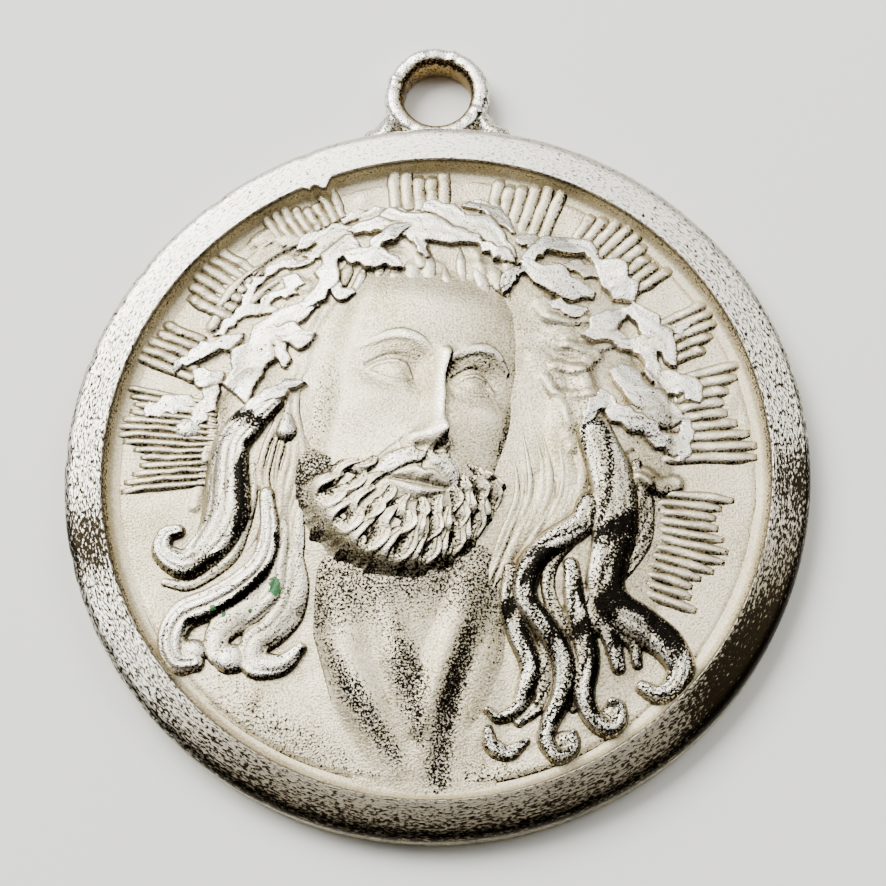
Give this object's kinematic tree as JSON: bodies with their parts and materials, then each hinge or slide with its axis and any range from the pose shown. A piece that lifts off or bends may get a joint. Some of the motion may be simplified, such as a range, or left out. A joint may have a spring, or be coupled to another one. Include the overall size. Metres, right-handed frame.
{
  "type": "religious medal pendant",
  "caption": "Round metal medal with a raised rim, a crowned and bearded head in relief before rays, and a soldered loop for a chain.",
  "frame": {"origin": "centre of the disc on its flat back", "axes": "+Z out of the face with the relief, +Y from the disc's centre to the loop"},
  "size_m": [0.028, 0.0317, 0.0025],
  "materials": {
    "silver": "satin silver with a fine sandblasted grain, brighter on the worn flats, dark tarnish in the deepest recesses"
  },
  "bodies": {
    "root": {"medal": "silver"}
  },
  "joints": []
}
